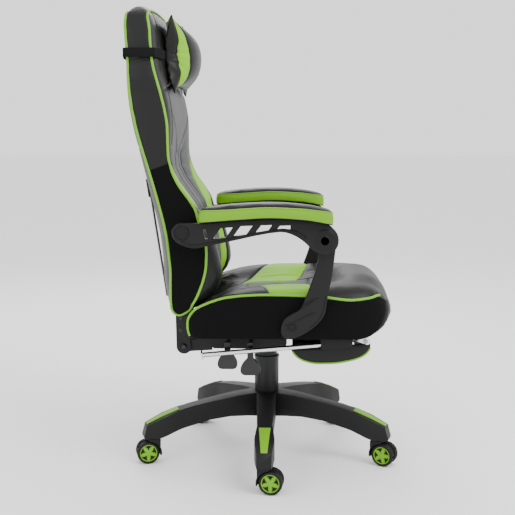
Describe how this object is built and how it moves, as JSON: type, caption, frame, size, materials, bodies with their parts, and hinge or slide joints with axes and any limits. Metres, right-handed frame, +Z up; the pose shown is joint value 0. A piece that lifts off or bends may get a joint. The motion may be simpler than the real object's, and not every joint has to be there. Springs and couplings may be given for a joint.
{
  "type": "gaming chair",
  "caption": "High-back reclining gaming chair on a caster base, with gas lift, linked padded armrests, head pillow and a slide-out flip-over footrest.",
  "frame": {"origin": "on the floor under the gas lift column, which is also the middle of the footprint", "axes": "+X forward out of the seat, +Y to the sitter's left, +Z up along the column"},
  "size_m": [0.7089, 0.6796, 1.195],
  "materials": {
    "upholstery": "matte",
    "green_trim": "satin",
    "nylon": "matte",
    "gloss_plastic": "gloss",
    "tyre": "satin",
    "painted_steel": "satin",
    "chrome": "polished",
    "webbing": "matte",
    "plywood": "matte"
  },
  "bodies": {
    "base": {"base_star": "nylon", "leg_inlay_1": "green_trim", "leg_inlay_2": "green_trim", "leg_inlay_3": "green_trim", "leg_inlay_4": "green_trim", "leg_inlay_5": "green_trim", "column_cover": "nylon", "lift_outer_tube": "painted_steel", "thrust_bearing": "chrome"},
    "caster_1": {"caster_hood_1": "nylon", "caster_axle_1": "chrome"},
    "wheels_1": {"caster_wheel_1a": "tyre", "caster_wheel_1b": "tyre"},
    "caster_2": {"caster_hood_2": "nylon", "caster_axle_2": "chrome"},
    "wheels_2": {"caster_wheel_2a": "tyre", "caster_wheel_2b": "tyre"},
    "caster_3": {"caster_hood_3": "nylon", "caster_axle_3": "chrome"},
    "wheels_3": {"caster_wheel_3a": "tyre", "caster_wheel_3b": "tyre"},
    "caster_4": {"caster_hood_4": "nylon", "caster_axle_4": "chrome"},
    "wheels_4": {"caster_wheel_4a": "tyre", "caster_wheel_4b": "tyre"},
    "caster_5": {"caster_hood_5": "nylon", "caster_axle_5": "chrome"},
    "wheels_5": {"caster_wheel_5a": "tyre", "caster_wheel_5b": "tyre"},
    "spindle": {"piston_rod": "chrome"},
    "seat": {"gas_cylinder": "chrome", "column_cover_upper": "nylon", "seat_cushion": "upholstery", "seat_board": "plywood", "mechanism_housing": "painted_steel", "footrest_sleeve_right": "nylon", "footrest_sleeve_left": "nylon", "recline_pin": "chrome", "post_bolt_right": "painted_steel", "post_bolt_left": "painted_steel"},
    "recline_lever": {"recline_lever": "gloss_plastic"},
    "height_lever": {"height_lever": "gloss_plastic"},
    "backrest": {"backrest_cushion": "upholstery", "back_bracket": "painted_steel", "head_pillow": "upholstery", "pillow_strap": "webbing", "lumbar_strap": "webbing", "armrest_hub_pin_right": "painted_steel", "armrest_hub_pin_left": "painted_steel"},
    "armrest_right": {"armrest_frame_right": "nylon", "armrest_pad_right": "upholstery"},
    "post_right": {"armrest_post_right": "nylon"},
    "armrest_left": {"armrest_frame_left": "nylon", "armrest_pad_left": "upholstery"},
    "post_left": {"armrest_post_left": "nylon"},
    "footrest_slide": {"footrest_rail_right": "chrome", "footrest_rail_left": "chrome", "footrest_pivot_rod": "painted_steel"},
    "footrest": {"footrest_board": "plywood", "footrest_cushion": "upholstery"}
  },
  "joints": [
    {"name": "caster_swivel_1", "type": "hinge", "parent": "base", "child": "caster_1", "pos_m": [0, -0.316, 0.067], "axis": [0, 0, 1], "continuous": true},
    {"name": "wheel_spin_1", "type": "hinge", "parent": "caster_1", "child": "wheels_1", "pos_m": [0.01785, -0.31835, 0.03], "axis": [0.1305, 0.9914, 0], "continuous": true},
    {"name": "caster_swivel_2", "type": "hinge", "parent": "base", "child": "caster_2", "pos_m": [0.30053, -0.09765, 0.067], "axis": [0, 0, 1], "continuous": true},
    {"name": "wheel_spin_2", "type": "hinge", "parent": "caster_2", "child": "wheels_2", "pos_m": [0.31628, -0.10638, 0.03], "axis": [0.4848, 0.8746, 0], "continuous": true},
    {"name": "caster_swivel_3", "type": "hinge", "parent": "base", "child": "caster_3", "pos_m": [0.18574, 0.25565, 0.067], "axis": [0, 0, 1], "continuous": true},
    {"name": "wheel_spin_3", "type": "hinge", "parent": "caster_3", "child": "wheels_3", "pos_m": [0.20266, 0.26181, 0.03], "axis": [-0.342, 0.9397, 0], "continuous": true},
    {"name": "caster_swivel_4", "type": "hinge", "parent": "base", "child": "caster_4", "pos_m": [-0.18574, 0.25565, 0.067], "axis": [0, 0, 1], "continuous": true},
    {"name": "wheel_spin_4", "type": "hinge", "parent": "caster_4", "child": "wheels_4", "pos_m": [-0.20266, 0.26181, 0.03], "axis": [-0.342, -0.9397, 0], "continuous": true},
    {"name": "caster_swivel_5", "type": "hinge", "parent": "base", "child": "caster_5", "pos_m": [-0.30053, -0.09765, 0.067], "axis": [0, 0, 1], "continuous": true},
    {"name": "wheel_spin_5", "type": "hinge", "parent": "caster_5", "child": "wheels_5", "pos_m": [-0.31792, -0.10231, 0.03], "axis": [0.2588, -0.9659, 0], "continuous": true},
    {"name": "seat_swivel", "type": "hinge", "parent": "base", "child": "spindle", "pos_m": [0, 0, 0.12], "axis": [0, 0, 1], "continuous": true},
    {"name": "seat_lift", "type": "slide", "parent": "spindle", "child": "seat", "axis": [0, 0, 1], "range_m": [0, 0.08]},
    {"name": "back_recline", "type": "hinge", "parent": "seat", "child": "backrest", "pos_m": [-0.221, 0, 0.309], "axis": [0, -1, 0], "range_deg": [0, 40]},
    {"name": "armrest_hinge_right", "type": "hinge", "parent": "backrest", "child": "armrest_right", "pos_m": [-0.2, -0.29, 0.64], "axis": [0, 1, 0], "range_deg": [0, 34]},
    {"name": "post_hinge_right", "type": "hinge", "parent": "seat", "child": "post_right", "pos_m": [0.067, -0.27, 0.407], "axis": [0, -1, 0], "range_deg": [0, 57.5]},
    {"name": "armrest_hinge_left", "type": "hinge", "parent": "backrest", "child": "armrest_left", "pos_m": [-0.2, 0.29, 0.64], "axis": [0, 1, 0], "range_deg": [0, 34]},
    {"name": "post_hinge_left", "type": "hinge", "parent": "seat", "child": "post_left", "pos_m": [0.067, 0.27, 0.407], "axis": [0, -1, 0], "range_deg": [0, 57.5]},
    {"name": "recline_lever_pull", "type": "hinge", "parent": "seat", "child": "recline_lever", "pos_m": [-0.098, -0.07, 0.3376], "axis": [-1, 0, 0], "range_deg": [0, 6], "stiffness_Nm_per_rad": 1.2, "springref_deg": -8.59},
    {"name": "height_lever_pull", "type": "hinge", "parent": "seat", "child": "height_lever", "pos_m": [-0.039, -0.07, 0.3376], "axis": [-1, 0, 0], "range_deg": [0, 6], "stiffness_Nm_per_rad": 1.2, "springref_deg": -8.59},
    {"name": "footrest_slide_out", "type": "slide", "parent": "seat", "child": "footrest_slide", "axis": [0.9957, 0, 0.0924], "range_m": [0, 0.26]},
    {"name": "footrest_flip", "type": "hinge", "parent": "footrest_slide", "child": "footrest", "pos_m": [0.253, 0, 0.356], "axis": [0, -1, 0], "range_deg": [0, 180]}
  ],
  "couplings": [
    {"joint": "armrest_hinge_right", "follows": "back_recline", "ratio": 0.84669},
    {"joint": "post_hinge_right", "follows": "back_recline", "ratio": 1.4283},
    {"joint": "armrest_hinge_left", "follows": "back_recline", "ratio": 0.84669},
    {"joint": "post_hinge_left", "follows": "back_recline", "ratio": 1.4283},
    {"joint": "footrest_flip", "follows": "footrest_slide_out", "rad_per_m": 12.083}
  ]
}
